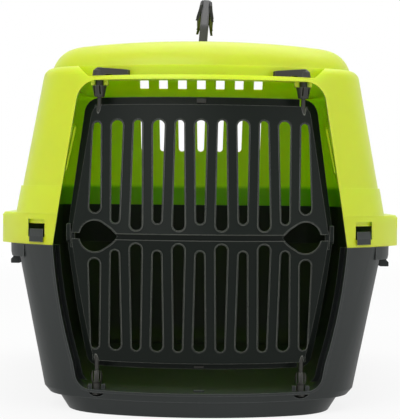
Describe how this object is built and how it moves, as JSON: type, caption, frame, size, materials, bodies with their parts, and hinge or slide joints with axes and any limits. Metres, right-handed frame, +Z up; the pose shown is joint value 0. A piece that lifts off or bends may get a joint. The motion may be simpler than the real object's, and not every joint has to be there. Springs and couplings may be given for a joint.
{
  "type": "small animal carrier",
  "caption": "Two-part plastic carrier for a small animal, with a slotted folding front door on turn levers, side clips and a folding carry handle.",
  "frame": {"origin": "On the ground below the middle of the whole object.", "axes": "+X to the carrier's right as seen from the door, -Y out of the doorway, +Z up."},
  "size_m": [0.325, 0.4788, 0.341],
  "materials": {
    "lid_plastic": "satin",
    "tub_plastic": "satin",
    "door_plastic": "satin",
    "lever_plastic": "satin",
    "handle_plastic": "satin",
    "grip_rubber": "matt"
  },
  "bodies": {
    "base": {"base_shell": "tub_plastic", "bottom_pin_left": "lever_plastic", "bottom_pin_right": "lever_plastic"},
    "top": {"top_shell": "lid_plastic", "corner_catch_left": "tub_plastic", "corner_catch_right": "tub_plastic", "side_clip_pins": "tub_plastic", "handle_pivot_front": "handle_plastic", "handle_pivot_rear": "handle_plastic"},
    "door": {"door_upper_leaf": "door_plastic", "door_lower_leaf": "door_plastic", "door_leaf_pins": "door_plastic"},
    "lever_left": {"lever_left": "lever_plastic"},
    "lever_right": {"lever_right": "lever_plastic"},
    "side_clip_left_front": {"side_clip_left_front": "tub_plastic"},
    "side_clip_left_rear": {"side_clip_left_rear": "tub_plastic"},
    "side_clip_right_front": {"side_clip_right_front": "tub_plastic"},
    "side_clip_right_rear": {"side_clip_right_rear": "tub_plastic"},
    "handle": {"handle_frame": "handle_plastic", "handle_grip_left": "grip_rubber", "handle_grip_right": "grip_rubber"}
  },
  "joints": [
    {"name": "top_lift", "type": "slide", "parent": "base", "child": "top", "axis": [0, 0, 1], "range_m": [0, 0.12]},
    {"name": "door_swing", "type": "hinge", "parent": "base", "child": "door", "pos_m": [-0.079, -0.195, 0.138], "axis": [0, 0, -1], "range_deg": [0, 100]},
    {"name": "lever_left_turn", "type": "hinge", "parent": "top", "child": "lever_left", "pos_m": [-0.079, -0.195, 0.262], "axis": [0, 0, -1], "range_deg": [0, 90]},
    {"name": "lever_right_turn", "type": "hinge", "parent": "top", "child": "lever_right", "pos_m": [0.079, -0.195, 0.262], "axis": [0, 0, 1], "range_deg": [0, 90]},
    {"name": "handle_swing", "type": "hinge", "parent": "top", "child": "handle", "pos_m": [0, 0, 0.2915], "axis": [0, 1, 0], "range_deg": [-92, 83]},
    {"name": "side_clip_left_front_swing", "type": "hinge", "parent": "top", "child": "side_clip_left_front", "pos_m": [-0.1546, -0.1176, 0.1486], "axis": [0, 1, 0], "range_deg": [0, 115]},
    {"name": "side_clip_left_rear_swing", "type": "hinge", "parent": "top", "child": "side_clip_left_rear", "pos_m": [-0.1546, 0.1176, 0.1486], "axis": [0, 1, 0], "range_deg": [0, 115]},
    {"name": "side_clip_right_front_swing", "type": "hinge", "parent": "top", "child": "side_clip_right_front", "pos_m": [0.1546, -0.1176, 0.1486], "axis": [0, -1, 0], "range_deg": [0, 115]},
    {"name": "side_clip_right_rear_swing", "type": "hinge", "parent": "top", "child": "side_clip_right_rear", "pos_m": [0.1546, 0.1176, 0.1486], "axis": [0, -1, 0], "range_deg": [0, 115]}
  ],
  "couplings": [
    {"joint": "side_clip_left_front_swing", "follows": "top_lift", "rad_per_m": 16},
    {"joint": "side_clip_left_rear_swing", "follows": "top_lift", "rad_per_m": 16},
    {"joint": "side_clip_right_front_swing", "follows": "top_lift", "rad_per_m": 16},
    {"joint": "side_clip_right_rear_swing", "follows": "top_lift", "rad_per_m": 16}
  ]
}
